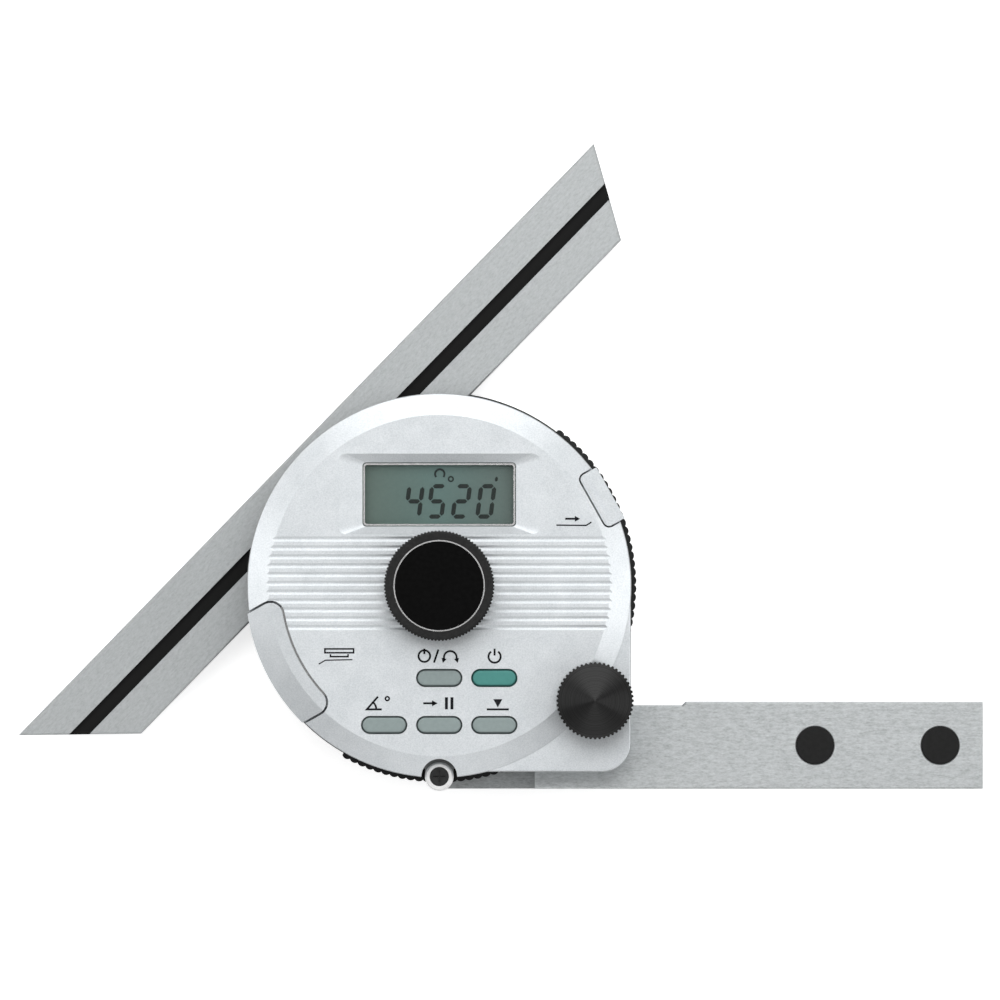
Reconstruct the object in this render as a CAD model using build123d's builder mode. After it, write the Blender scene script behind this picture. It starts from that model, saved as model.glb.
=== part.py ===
# Bevel protractor with a digital display, lying on its back.
# The origin is on the axis of the turret at its rear face, +X runs along the stock, +Z to the display.
import os
from math import asin, cos, degrees, pi, radians, sin, sqrt, tan

from build123d import *

os.makedirs("parts", exist_ok=True)

# General fits, in millimetres
fit_gap = 0.1               # loose fit between a piece and its seat
run_gap = 0.05              # radial gap of a turning or sliding fit
side_gap = 0.3              # axial gap beside a turning piece
overrun = 1.0               # how far a cutting shape runs past the surface that it cuts
edge_break = 0.3            # small chamfer on ground edges

# Blade, held in the turret's channel
blade_angle = 45.8          # degrees from the stock to the blade
blade_length = 150.0
blade_width = 15.8
blade_thickness = 2.0
blade_seat = 20.0           # from the axis to the shoulder that guides the blade's inner edge
blade_foot = 72.9           # from the middle of the turret to the lower point, along the blade
foot_cut_angle = 45.0       # degrees between the lower end and the edge
tip_cut_angle = 60.0        # degrees between the upper end and the edge
groove_width = 2.6
groove_depth = 0.8
groove_offset = 8.0         # from the blade's inner edge to the middle of its groove

# Turret, the rotor behind the stock
turret_past_rim = 0.3       # how far the base reaches past the housing's rim
turret_thickness = 5.0
turret_edge = 0.5
hub_radius = 11.5
ring_inside_rim = 0.8       # plain part of the front flange
ring_thickness = 4.1
lobes_past_rim = 0.95       # knurled part of the front flange
lobe_depth = 0.36
lobes_per_turn = 144
lobe_arc_start = 240.2      # degrees, where the knurled part begins
lobe_arc_sweep = 171.4      # degrees
neck_radius = 9.5
screw_circle_radius = 8.8   # on which the turret screws stand
turret_screw_turns = (90, 180, 270)

# Blade hook and its nut
hook_offset = 4.5           # from the shoulder to the hook's stud
hook_stud_radius = 1.9
hook_width = 5.0
hook_thickness = 1.2
hook_lift = 0.35            # travel of the hook when the nut is undone
lip_length = 2.0            # size of the lip across the groove
nut_radius = 6.6
nut_thickness = 2.0
nut_sink = 0.2
nut_teeth = 40
nut_tooth_depth = 0.25
nut_tooth_shares = (0.4, 0.8)   # of a tooth's pitch, at its tip and its root
dish_gap = 0.4
coin_slot_width = 1.5
coin_slot_depth = 0.9

# Stock
stock_right = 98.6          # from the axis to the free end
stock_below_corner = 3.2    # from the housing's flat bottom to the lower working edge
stock_width = 15.8
stock_relief = 0.65         # the upper edge is set back near the housing
relief_past_corner = 10.0   # how far the set-back part runs past the housing
web_clearance = 0.45        # from the raised hook to the web
web_thickness = 2.2
web_inside_rim = 4.8
web_step = 17.3             # where the thick part of the stock begins
ring_clearance = 0.5        # round the knurled flange
plug_radius = 3.45
plug_set_in = 7.76          # from the stock's free end
plug_pitch = 22.7
plug_dome = 0.15
plug_chamfer = 0.15
plug_chamfer_angle = 45

# Frame plate, bush and boss
plate_gap = 0.4             # from the flange to the frame plate
plate_thickness = 2.0
bush_radius = 12.0
washer_radius = 16.0
boss_inside_rim = 0.2
boss_radius = 2.6
boss_height = 5.4
boss_notch_gap = 0.64       # between the boss and the housing's notch
notch_wall = 0.6
boss_screw_radius = 1.75
boss_screw_sink = 0.35
cross_recess_share = 1.3    # of the boss screw's radius

# Housing
bevel_width = 3.9           # of the cone between the face and the rim
bevel_height = 1.8
corner_right_inside_rim = 0.1
corner_bottom_inside_rim = 1.1
corner_radius = 5.2
corner_edge = 0.3           # rounding of the corner's outer edge
rim_edge = 0.3              # rounding between the cone and the rim
wall = 1.4
rib_pitch = 1.6
rib_count = 11
rib_groove_width = 0.95
rib_groove_depth = 0.22
rib_wall_angle = 60         # degrees from the grooves' walls to the upright
rib_middle = 0.42           # height of the ribbed band's middle above the axis
pad_radius = 9.7            # plain pad under the centre knob
lug_radius = 1.3
lug_height = 3.0
lug_inside_rim = 2.8
lug_angles = (75, 165, 250)

# Display
frame_width = 36.3
frame_height = 14.6
frame_middle = 16.6         # above the axis
window_width = 27.8
window_height = 11.6
window_middle = 16.5
frame_corner = 1.2
window_corner = 0.7
frame_sink = 1.2            # depth of the sloped surround
surround_margin = 1.2       # of the thicker wall round the window
bezel_width = 0.3
bezel_gap = 0.15            # dark line round the bezel
bezel_height = 0.4
window_thickness = 0.9
panel_overlap = 1.1

# Buttons
button_length = 7.8
button_width = 2.7
button_gap = 0.3
button_stand = 0.35         # above the display face
button_travel = 0.5
button_flange = 0.65        # how far the flange reaches past the cap, and its thickness
upper_row = 16.71           # below the axis
lower_row = 25.23
button_pitch = 9.97

# Inner stack
drive_teeth = 120
pinion_teeth = 20
gear_thickness = 1.2
gear_backlash = 0.12
encoder_inside_board = 5.5
encoder_thickness = 0.5
board_gap_round = 1.9       # from the board to the housing's wall
board_thickness = 1.0
board_gap = 1.4             # from the encoder disc to the board
post_radius = 1.6
post_screw_radius = 0.7
post_head_radius = 1.2
post_head_height = 0.7
upper_post_shares = ((-0.66, 0.46), (0.675, -0.086))    # of the rim radius
lower_post_share = -0.6     # of the button pitch, between the rows

# Knobs
stud_radius = 3.0
stud_head_radius = 6.0
stud_head_height = 2.0
spanner_hole_radius = 0.8
spanner_hole_offset = 3.8
spanner_hole_depth = 1.2
rotor_nut_across = 11.0
rotor_nut_height = 1.2
thrust_radius = 8.0
thrust_thickness = 0.35
knob_radius = 10.0
knob_height = 5.6
knob_teeth = 96
knob_tooth_depth = 0.22
knob_tooth_shares = (0.35, 0.85)
knob_edge = 0.5
knob_disc_radius = 8.05
knob_ring_width = 0.22
knob_disc_depth = 0.6
fine_from_right = 6.5       # from the housing's right side
fine_from_bottom = 12.9     # from the housing's flat bottom
fine_radius = 7.0
fine_height = 5.6
fine_teeth = 52
fine_tooth_depth = 0.3
fine_tooth_shares = (0.35, 0.75)
fine_cone_height = 0.5
fine_cone_radius = 6.2
fine_shaft_radius = 2.0
fine_bush_radius = 3.2
fine_lift = 0.3             # from the display face to the fine knob

# Battery drawer
drawer_angle = 209.3        # degrees, the way it slides out
drawer_offset = -1.5        # of its middle line, to the right of its way out
drawer_reach = 11.98        # from the axis to the tray's inner end
drawer_cover_depth = 6.0    # from the rim to the cover's inner edge
drawer_front = 1.82         # from the cell to the rim
drawer_corner = 2.2
drawer_stand = 0.3          # how far it stands past the rim
drawer_floor = 0.6
drawer_ledge = 0.5          # ledge of the housing's guides under the drawer
drawer_line = 0.4           # gap round the cover
drawer_side = 0.4           # from the cover's end to the tray's side
cell_radius = 10.0
cell_thickness = 3.2
cell_side = 0.6             # from the cell to the tray's side
cell_step = 0.4
guide_wall = 1.0
contact_thickness = 0.25
contact_gap = 0.3           # from the cell to the contact over it
contact_width = 4.0

# Data port
port_angle = 29.3
port_width = 10.5
port_offset = -0.5
port_cover_depth = 3.2      # from the rim to the cover's inner edge
port_stand = 0.5            # how far the cover stands past the rim
port_corner = 1.0
port_line = 0.3             # gap round the cover
port_rise = 0.7             # of the cover's flat front above the rim's edge
socket_length = 5.6         # behind the cover's inner edge
socket_width = 8.6
socket_height = 3.2
socket_wall = 0.6
socket_gap = 0.3            # from the socket's mouth to the cover
tab_length = 2.0            # of the cover's tab in the socket

# Small screws
screw_radius = 1.0
screw_head_radius = 1.9
screw_head_height = 1.1
short_screw_radius = 0.7
short_screw_head = 1.15
short_screw_length = 4.4
frame_screw_shares = ((0.68, 0.896), (0.899, 0.76))    # of the corner's right and bottom
corner_screw_share = (0.853, 0.887)

# Levels, counted up from the turret's rear face
channel_floor = turret_thickness - blade_thickness
hook_rear = turret_thickness + run_gap
stock_rear = hook_rear + hook_thickness + hook_lift + web_clearance - run_gap
web_front = stock_rear + web_thickness
ring_rear = web_front + side_gap
ring_front = ring_rear + ring_thickness
plate_rear = ring_front + plate_gap
plate_front = plate_rear + plate_thickness
gear_rear = plate_front + side_gap
gear_front = gear_rear + gear_thickness
encoder_front = gear_front + encoder_thickness
board_rear = encoder_front + board_gap
board_front = board_rear + board_thickness
drawer_rear = encoder_front + side_gap + drawer_ledge + run_gap
cell_rear = drawer_rear + drawer_floor
cell_front = cell_rear + cell_thickness
ceiling = cell_front + contact_gap + contact_thickness
face_level = ceiling + wall
rim_level = face_level - bevel_height
corner_ceiling = rim_level - wall
housing_depth = face_level - plate_rear

# Radii and places worked out from the sizes: the cell and its tray set the housing's rim
cell_middle = drawer_reach + guide_wall + cell_radius
rim_radius = cell_middle + cell_radius + drawer_front
face_radius = rim_radius - bevel_width
inner_radius = rim_radius - wall
board_radius = inner_radius - board_gap_round
encoder_radius = board_radius - encoder_inside_board
turret_radius = rim_radius + turret_past_rim
ring_radius = rim_radius - ring_inside_rim
lobe_tip_radius = rim_radius + lobes_past_rim
web_radius = rim_radius - web_inside_rim
lug_circle_radius = rim_radius - lug_inside_rim
boss_offset = rim_radius - boss_inside_rim
corner_right = rim_radius - corner_right_inside_rim
corner_bottom = rim_radius - corner_bottom_inside_rim
stock_lower_edge = corner_bottom + stock_below_corner
relief_end = corner_right + relief_past_corner
plug_places = (stock_right - plug_set_in - plug_pitch, stock_right - plug_set_in)
drawer_width = 2 * (cell_radius + cell_side + drawer_side)
drawer_inner_radius = rim_radius - drawer_cover_depth
port_inner = rim_radius - port_cover_depth
port_outer = rim_radius + port_stand
socket_inner = port_inner - socket_length
fine_x = corner_right - fine_from_right
fine_below = corner_bottom - fine_from_bottom
frame_screw_places = [(x * corner_right, -y * corner_bottom) for x, y in frame_screw_shares]
corner_screw_place = (corner_screw_share[0] * corner_right, -corner_screw_share[1] * corner_bottom)
blade_inner = blade_seat + run_gap
blade_outer = blade_inner + blade_width
blade_tip = blade_length - blade_foot
groove_middle = blade_inner + groove_offset
hook_middle = blade_seat - hook_offset
stock_upper_edge = stock_lower_edge - stock_width
relieved_edge = stock_upper_edge + stock_relief
pocket_radius = lobe_tip_radius + ring_clearance
plate_outline_inset = wall + fit_gap
knob_rear = face_level + thrust_thickness + run_gap
knob_front = knob_rear + knob_height
fine_rear = face_level + fine_lift
fine_front = fine_rear + fine_height

# Gear pair: the drive gear on the turret's neck turns the pinion under the fine knob
gear_distance = sqrt(fine_x**2 + fine_below**2)
gear_module = 2 * gear_distance / (drive_teeth + pinion_teeth)
pinion_line = -degrees(asin(fine_below / gear_distance))
drive_pitch = 360 / drive_teeth
tooth_ahead = -pinion_line % drive_pitch
pinion_phase = pinion_line + 180 - tooth_ahead * drive_teeth / pinion_teeth + 180 / pinion_teeth
pressure_angle = 20
addendum_share = 0.9
dedendum_share = 1.25


def polar(radius, angle):
    return (radius * cos(radians(angle)), radius * sin(radians(angle)))


def turned_plane(angle, level):
    """Plane at a height, with its X axis turned about the turret's axis."""
    return Plane(origin=(0, 0, level), x_dir=(*polar(1, angle), 0), z_dir=(0, 0, 1))


def spot(place, level):
    """Plane at a height, with its origin over a place."""
    return Plane(origin=(*place, level), x_dir=(1, 0, 0), z_dir=(0, 0, 1))


def toothed_outline(tip_radius, root_radius, teeth, tip_width_share, root_width_share, phase=0):
    """Outline with straight-sided teeth. The widths are shares of one tooth's pitch."""
    pitch = 360 / teeth
    points = []
    for tooth in range(teeth):
        middle = phase + tooth * pitch
        points.append(polar(root_radius, middle - pitch * root_width_share / 2))
        points.append(polar(tip_radius, middle - pitch * tip_width_share / 2))
        points.append(polar(tip_radius, middle + pitch * tip_width_share / 2))
        points.append(polar(root_radius, middle + pitch * root_width_share / 2))
    with BuildSketch(mode=Mode.PRIVATE) as outline:
        Polygon(*points, align=None)
    return outline.sketch


def gear_outline(teeth, phase=0):
    """Spur gear outline with flat flanks near the involute."""
    pitch_radius = gear_module * teeth / 2
    tooth = pi * gear_module / 2 - gear_backlash
    tip_tooth = tooth - 2 * addendum_share * gear_module * tan(radians(pressure_angle))
    root_tooth = tooth + dedendum_share * gear_module * tan(radians(pressure_angle))
    pitch = pi * gear_module
    return toothed_outline(
        pitch_radius + addendum_share * gear_module,
        pitch_radius - dedendum_share * gear_module,
        teeth,
        tip_tooth / pitch,
        root_tooth / pitch,
        phase,
    )


def housing_outline(inset):
    """Round rim with the square corner that carries the fine knob."""
    right = corner_right - inset
    bottom = corner_bottom - inset
    with BuildSketch(mode=Mode.PRIVATE) as outline:
        Circle(rim_radius - inset)
        with Locations((right / 2, -bottom / 2)):
            Rectangle(right, bottom)
        corner = outline.vertices().sort_by(Axis((0, 0, 0), (1, -1, 0)))[-1]
        fillet(corner, corner_radius - inset)
    return outline.sketch


# Blade: flat strip with two slanted ends and a painted groove
with BuildPart() as blade:
    with BuildSketch(turned_plane(blade_angle, channel_floor)):
        Polygon(
            (-blade_foot, blade_outer),
            (blade_tip, blade_outer),
            (blade_tip - blade_width / tan(radians(tip_cut_angle)), blade_inner),
            (-blade_foot + blade_width / tan(radians(foot_cut_angle)), blade_inner),
            align=None,
        )
    extrude(amount=blade_thickness)
    chamfer(blade.faces().sort_by(Axis.Z)[-1].edges(), edge_break)
    with BuildSketch(turned_plane(blade_angle, turret_thickness)):
        with Locations((blade_tip - blade_length / 2, groove_middle)):
            Rectangle(blade_length + overrun, groove_width)
    extrude(amount=-groove_depth, mode=Mode.SUBTRACT)
blade.part.label = "blade"

# Turret base: rear disc with the blade's channel, the nut's dish and the stud's seat
with BuildPart() as turret_base:
    with BuildSketch():
        Circle(turret_radius)
    extrude(amount=turret_thickness)
    chamfer(turret_base.faces().sort_by(Axis.Z)[0].edges(), turret_edge)
    with BuildSketch(turned_plane(blade_angle, turret_thickness)):
        with Locations((0, blade_seat)):
            Rectangle(
                2 * turret_radius, turret_radius, align=(Align.CENTER, Align.MIN)
            )
    extrude(amount=-blade_thickness, mode=Mode.SUBTRACT)
    with BuildSketch():
        Circle(stud_head_radius)
    extrude(amount=stud_head_height, mode=Mode.SUBTRACT)
    with BuildSketch():
        Circle(stud_radius)
    extrude(amount=turret_thickness, mode=Mode.SUBTRACT)
    with BuildSketch(turned_plane(blade_angle, 0)):
        with Locations((0, hook_middle)):
            Circle(nut_radius + dish_gap)
    extrude(amount=nut_sink + nut_thickness + fit_gap, mode=Mode.SUBTRACT)
    with BuildSketch(turned_plane(blade_angle, 0)):
        with Locations((0, hook_middle)):
            Circle(hook_stud_radius + run_gap)
    extrude(amount=turret_thickness, mode=Mode.SUBTRACT)
    for turn in turret_screw_turns:
        place = polar(screw_circle_radius, blade_angle + 90 + turn)
        with BuildSketch(spot(place, 0)):
            Circle(screw_head_radius)
        extrude(amount=screw_head_height, mode=Mode.SUBTRACT)
        with BuildSketch(spot(place, 0)):
            Circle(screw_radius)
        extrude(amount=turret_thickness, mode=Mode.SUBTRACT)
turret_base.part.label = "turret_base"

# Knurled part of the flange: rounded lobes over part of a turn
lobe_pitch = 360 / lobes_per_turn
lobe_count = round(lobe_arc_sweep / lobe_pitch)
lobe_root_radius = lobe_tip_radius - lobe_depth
lobe_arc_end = lobe_arc_start + lobe_count * lobe_pitch
with BuildSketch(mode=Mode.PRIVATE) as knurled_part:
    with BuildLine():
        for lobe in range(lobe_count):
            start = lobe_arc_start + lobe * lobe_pitch
            ThreePointArc(
                polar(lobe_root_radius, start),
                polar(lobe_tip_radius, start + lobe_pitch / 2),
                polar(lobe_root_radius, start + lobe_pitch),
            )
        Line(polar(lobe_root_radius, lobe_arc_end), polar(hub_radius, lobe_arc_end))
        CenterArc((0, 0), hub_radius, lobe_arc_end, -lobe_count * lobe_pitch)
        Line(polar(hub_radius, lobe_arc_start), polar(lobe_root_radius, lobe_arc_start))
    make_face()

# Turret ring: flange with the knurled part, hub towards the base and neck towards the gear
with BuildPart() as turret_ring:
    with BuildSketch(Plane.XY.offset(ring_rear)):
        Circle(ring_radius)
        add(knurled_part.sketch)
    extrude(amount=ring_thickness)
    with BuildSketch(Plane.XY.offset(turret_thickness)):
        Circle(hub_radius)
    extrude(amount=ring_rear - turret_thickness)
    with BuildSketch(Plane.XY.offset(ring_front)):
        Circle(neck_radius)
    extrude(amount=gear_front - ring_front)
    with BuildSketch(Plane.XY.offset(turret_thickness)):
        Circle(stud_radius)
    extrude(amount=gear_front - turret_thickness, mode=Mode.SUBTRACT)
    for turn in turret_screw_turns:
        with BuildSketch(spot(polar(screw_circle_radius, blade_angle + 90 + turn), turret_thickness)):
            Circle(screw_radius)
        extrude(amount=ring_rear - turret_thickness, mode=Mode.SUBTRACT)
    with BuildSketch(spot(polar(lug_circle_radius, lobe_arc_end + lobe_arc_sweep / 2), ring_rear)):
        Circle(short_screw_head + edge_break)
    extrude(amount=ring_thickness, mode=Mode.SUBTRACT)
turret_ring.part.label = "turret_ring"

# Turret screws: sunk heads at the rear, shanks into the hub
with BuildPart() as turret_screws:
    for turn in turret_screw_turns:
        place = polar(screw_circle_radius, blade_angle + 90 + turn)
        with BuildSketch(spot(place, fit_gap)):
            Circle(screw_head_radius)
            Rectangle(screw_head_radius * 2, edge_break, mode=Mode.SUBTRACT)
        extrude(amount=screw_head_height / 2)
        with BuildSketch(spot(place, fit_gap + screw_head_height / 2)):
            Circle(screw_head_radius)
        extrude(amount=screw_head_height / 2 - fit_gap)
        with BuildSketch(spot(place, screw_head_height)):
            Circle(screw_radius)
        extrude(amount=ring_rear - screw_head_height)
turret_screws.part.label = "turret_screws"

# Blade hook: stud through the turret, arm over the blade and lip in its groove
with BuildPart() as blade_hook:
    with BuildSketch(turned_plane(blade_angle, hook_rear)):
        with Locations((0, hook_middle - hook_width / 2)):
            Rectangle(
                hook_width,
                groove_middle + lip_length / 2 - hook_middle + hook_width / 2,
                align=(Align.CENTER, Align.MIN),
            )
    extrude(amount=hook_thickness)
    fillet(blade_hook.edges().filter_by(Axis.Z), edge_break * 2)
    with BuildSketch(turned_plane(blade_angle, hook_rear)):
        with Locations((0, groove_middle)):
            Rectangle(hook_width - edge_break * 4, lip_length)
    extrude(amount=run_gap * 2 - groove_depth)
    with BuildSketch(turned_plane(blade_angle, hook_rear)):
        with Locations((0, hook_middle)):
            Circle(hook_stud_radius)
    extrude(amount=nut_sink + coin_slot_depth + side_gap - hook_rear)
blade_hook.part.label = "blade_hook"

# Coin-slotted nut of the hook, in its dish at the rear
with BuildPart() as hook_nut:
    with BuildSketch(turned_plane(blade_angle, nut_sink)):
        with Locations((0, hook_middle)):
            add(toothed_outline(nut_radius, nut_radius - nut_tooth_depth, nut_teeth, *nut_tooth_shares))
    extrude(amount=nut_thickness)
    with BuildSketch(turned_plane(blade_angle, nut_sink)):
        with Locations((0, hook_middle)):
            Rectangle(nut_radius * 2, coin_slot_width)
    extrude(amount=coin_slot_depth, mode=Mode.SUBTRACT)
    with BuildSketch(turned_plane(blade_angle, nut_sink)):
        with Locations((0, hook_middle)):
            Circle(hook_stud_radius + run_gap)
    extrude(amount=nut_thickness, mode=Mode.SUBTRACT)
hook_nut.part.label = "hook_nut"

# Stock: thick beam with a set-back part of its edge, a round pocket and a thin web round the hub
with BuildPart() as stock:
    with BuildSketch(Plane.XY.offset(stock_rear)):
        Polygon(
            (0, -stock_lower_edge),
            (stock_right, -stock_lower_edge),
            (stock_right, -stock_upper_edge),
            (relief_end, -stock_upper_edge),
            (relief_end - stock_relief, -relieved_edge),
            (0, -relieved_edge),
            align=None,
        )
    extrude(amount=plate_rear - stock_rear)
    chamfer(stock.faces().sort_by(Axis.Z)[-1].edges(), edge_break)
    chamfer(stock.faces().sort_by(Axis.Z)[0].edges(), edge_break)
    with BuildSketch(Plane.XY.offset(web_front)):
        with Locations((0, -(stock_lower_edge + relieved_edge) / 2)):
            Rectangle(2 * web_step, stock_width + overrun)
        Circle(pocket_radius)
    extrude(amount=plate_rear - web_front, mode=Mode.SUBTRACT)
    with BuildSketch(Plane.XY.offset(stock_rear)):
        Circle(web_radius)
    extrude(amount=web_thickness)
    with BuildSketch(Plane.XY.offset(stock_rear)):
        Circle(hub_radius + run_gap)
    extrude(amount=web_thickness, mode=Mode.SUBTRACT)
    with BuildSketch(Plane.XY.offset(stock_rear)):
        for place in plug_places:
            with Locations((place, -(stock_lower_edge + stock_upper_edge) / 2)):
                Circle(plug_radius)
    extrude(amount=plate_rear - stock_rear, mode=Mode.SUBTRACT)
    with BuildSketch(Plane.XY.offset(plate_rear)):
        for place in plug_places:
            with Locations((place, -(stock_lower_edge + stock_upper_edge) / 2)):
                Circle(plug_radius + plug_chamfer)
    extrude(amount=-plug_chamfer, taper=plug_chamfer_angle, mode=Mode.SUBTRACT)
    for place in frame_screw_places:
        with BuildSketch(spot(place, plate_rear)):
            Circle(screw_radius)
        extrude(amount=web_front - plate_rear, mode=Mode.SUBTRACT)
    with BuildSketch(spot(corner_screw_place, stock_rear)):
        Circle(screw_radius)
    extrude(amount=plate_rear - stock_rear, mode=Mode.SUBTRACT)
    with BuildSketch(spot(corner_screw_place, stock_rear)):
        Circle(screw_head_radius + fit_gap)
    extrude(amount=screw_head_height + fit_gap, mode=Mode.SUBTRACT)
stock.part.label = "stock"

# Stock plugs: two black inserts with slightly domed fronts
with BuildPart() as stock_plugs:
    with BuildSketch(Plane.XY.offset(stock_rear)):
        for place in plug_places:
            with Locations((place, -(stock_lower_edge + stock_upper_edge) / 2)):
                Circle(plug_radius)
    extrude(amount=plate_rear - stock_rear - plug_chamfer)
    with BuildSketch(Plane.XY.offset(plate_rear - plug_chamfer)):
        for place in plug_places:
            with Locations((place, -(stock_lower_edge + stock_upper_edge) / 2)):
                Circle(plug_radius - plug_chamfer)
    extrude(amount=plug_chamfer + plug_dome)
stock_plugs.part.label = "stock_plugs"

# Frame plate: carries the bush, the gears and the housing over the knurled flange
boss_place = (0, -boss_offset)
with BuildPart() as frame_plate:
    with BuildSketch(Plane.XY.offset(plate_rear)):
        add(housing_outline(plate_outline_inset))
        with Locations(boss_place):
            Circle(boss_radius)
            Rectangle(2 * boss_radius, boss_radius, align=(Align.CENTER, Align.MIN))
        Circle(bush_radius, mode=Mode.SUBTRACT)
        with Locations((fine_x, -fine_below)):
            Circle(fine_shaft_radius + run_gap, mode=Mode.SUBTRACT)
        with Locations(*frame_screw_places, corner_screw_place):
            Circle(screw_radius, mode=Mode.SUBTRACT)
        with Locations(boss_place, *[polar(lug_circle_radius, angle) for angle in lug_angles]):
            Circle(short_screw_radius, mode=Mode.SUBTRACT)
    extrude(amount=plate_thickness)
    with BuildSketch(Plane.XY.offset(plate_front)):
        with Locations(*frame_screw_places):
            Circle(screw_head_radius)
    extrude(amount=-screw_head_height, mode=Mode.SUBTRACT)
    with BuildSketch(Plane.XY.offset(plate_rear)):
        with Locations(*[polar(lug_circle_radius, angle) for angle in lug_angles]):
            Circle(short_screw_head)
    extrude(amount=screw_head_height, mode=Mode.SUBTRACT)
frame_plate.part.label = "frame_plate"

# Frame screws: from the front through the frame plate into the stock
with BuildPart() as frame_screws:
    with BuildSketch(Plane.XY.offset(plate_front - screw_head_height)):
        with Locations(*frame_screw_places):
            Circle(screw_head_radius)
            Rectangle(screw_head_radius * 2, edge_break, mode=Mode.SUBTRACT)
    extrude(amount=screw_head_height)
    with BuildSketch(Plane.XY.offset(plate_front - screw_head_height)):
        with Locations(*frame_screw_places):
            Circle(screw_head_radius)
    extrude(amount=screw_head_height / 2)
    with BuildSketch(Plane.XY.offset(plate_front - screw_head_height)):
        with Locations(*frame_screw_places):
            Circle(screw_radius)
    extrude(amount=web_front - plate_front + screw_head_height)
frame_screws.part.label = "frame_screws"

# Bearing bush: pressed in the frame plate, carries the turret's neck
with BuildPart() as bearing_bush:
    with BuildSketch(Plane.XY.offset(plate_rear)):
        Circle(bush_radius)
        Circle(neck_radius + run_gap, mode=Mode.SUBTRACT)
    extrude(amount=plate_thickness)
bearing_bush.part.label = "bearing_bush"

# Friction washer: on the frame plate's rear, pressed by the flange when the knob locks
with BuildPart() as friction_washer:
    with BuildSketch(Plane.XY.offset(ring_front + run_gap)):
        Circle(washer_radius)
        Circle(neck_radius + side_gap, mode=Mode.SUBTRACT)
    extrude(amount=plate_gap - run_gap)
friction_washer.part.label = "friction_washer"

# Boss: bright sleeve on the frame plate's lug, which keeps the housing from turning
with BuildPart() as edge_boss:
    with BuildSketch(spot(boss_place, plate_front)):
        Circle(boss_radius)
    extrude(amount=boss_height)
    chamfer(edge_boss.faces().sort_by(Axis.Z)[-1].edges(), edge_break)
    with BuildSketch(spot(boss_place, plate_front)):
        Circle(short_screw_radius)
    extrude(amount=boss_height, mode=Mode.SUBTRACT)
    with BuildSketch(spot(boss_place, plate_front + boss_height)):
        Circle(boss_screw_radius)
    extrude(amount=-boss_screw_sink - screw_head_height, mode=Mode.SUBTRACT)
edge_boss.part.label = "edge_boss"

# Boss screw: black, with a cross recess
boss_screw_front = plate_front + boss_height - boss_screw_sink
with BuildPart() as edge_boss_screw:
    with BuildSketch(spot(boss_place, plate_rear)):
        Circle(short_screw_radius)
    extrude(amount=boss_screw_front - plate_rear)
    with BuildSketch(spot(boss_place, boss_screw_front)):
        Circle(boss_screw_radius)
    extrude(amount=-screw_head_height)
    with BuildSketch(spot(boss_place, boss_screw_front)):
        Rectangle(boss_screw_radius * cross_recess_share, edge_break)
        Rectangle(edge_break, boss_screw_radius * cross_recess_share)
    extrude(amount=-screw_head_height / 2, mode=Mode.SUBTRACT)
edge_boss_screw.part.label = "edge_boss_screw"

# Levels and places inside the housing
surround_level = face_level - frame_sink
bezel_rear = surround_level - bezel_height
window_rear = bezel_rear - window_thickness
flange_front = ceiling - fit_gap
flange_rear = flange_front - button_flange
mat_front = flange_rear - button_travel - fit_gap
button_places = (
    (0, -upper_row),
    (button_pitch, -upper_row),
    (-button_pitch, -lower_row),
    (0, -lower_row),
    (button_pitch, -lower_row),
)
post_places = [(x * rim_radius, y * rim_radius) for x, y in upper_post_shares]
post_places.append((lower_post_share * button_pitch, -(upper_row + lower_row) / 2))
drawer_half = drawer_width / 2 - drawer_side
drawer_end = cell_middle - cell_radius - guide_wall
guide_end = drawer_half + fit_gap + guide_wall
contact_place = drawer_end - fit_gap - cell_step
socket_rear = encoder_front + cell_step
socket_outer = port_inner - socket_gap
port_rear = socket_rear - side_gap

# Square corner of the housing, which carries the fine knob
with BuildPart() as corner_form:
    with BuildSketch(Plane.XY.offset(plate_rear)) as corner_sketch:
        with Locations((corner_right / 2, -corner_bottom / 2)):
            Rectangle(corner_right, corner_bottom)
        fillet(corner_sketch.vertices().sort_by(Axis((0, 0, 0), (1, -1, 0)))[-1], corner_radius)
    extrude(amount=rim_level - plate_rear)
    corner_edges = corner_form.edges().group_by(Axis.Z)[-1]
    fillet(corner_edges.sort_by(Axis((0, 0, 0), (1, -1, 0)))[-3:], corner_edge)

# Outer form of the housing: round rim with a rounded edge, cone up to the face, and the corner
with BuildPart() as housing_form:
    with BuildSketch(Plane.XY.offset(plate_rear)):
        Circle(rim_radius)
    extrude(amount=rim_level - plate_rear)
    with Locations((0, 0, rim_level)):
        Cone(rim_radius, face_radius, bevel_height, align=(Align.CENTER, Align.CENTER, Align.MIN))
    fillet(housing_form.edges().filter_by(GeomType.CIRCLE).group_by(Axis.Z)[1], rim_edge)
    add(corner_form.part)


def drawer_band(grow):
    """Outline of the drawer's cover, with its X axis along the way out."""
    with BuildSketch(mode=Mode.PRIVATE) as band:
        with Locations((rim_radius, drawer_offset)):
            Rectangle(2 * rim_radius, drawer_width + 2 * grow)
        Circle(drawer_inner_radius - grow, mode=Mode.SUBTRACT)
        fillet(band.vertices().sort_by(Axis.X)[:2], drawer_corner + grow)
    return band.sketch


def port_band(grow):
    """Outline of the port's cover, with its X axis along the way out."""
    length = port_outer - port_inner + grow
    with BuildSketch(mode=Mode.PRIVATE) as band:
        with Locations((port_inner - grow + length / 2, port_offset)):
            Rectangle(length, port_width + 2 * grow)
        fillet(band.vertices().sort_by(Axis.X)[:2], port_corner + grow)
    return band.sketch


def window_outline(shrink):
    with BuildSketch(mode=Mode.PRIVATE) as outline:
        with Locations((0, window_middle)):
            RectangleRounded(
                window_width - 2 * shrink, window_height - 2 * shrink, window_corner - shrink / 2
            )
    return outline.sketch


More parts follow.
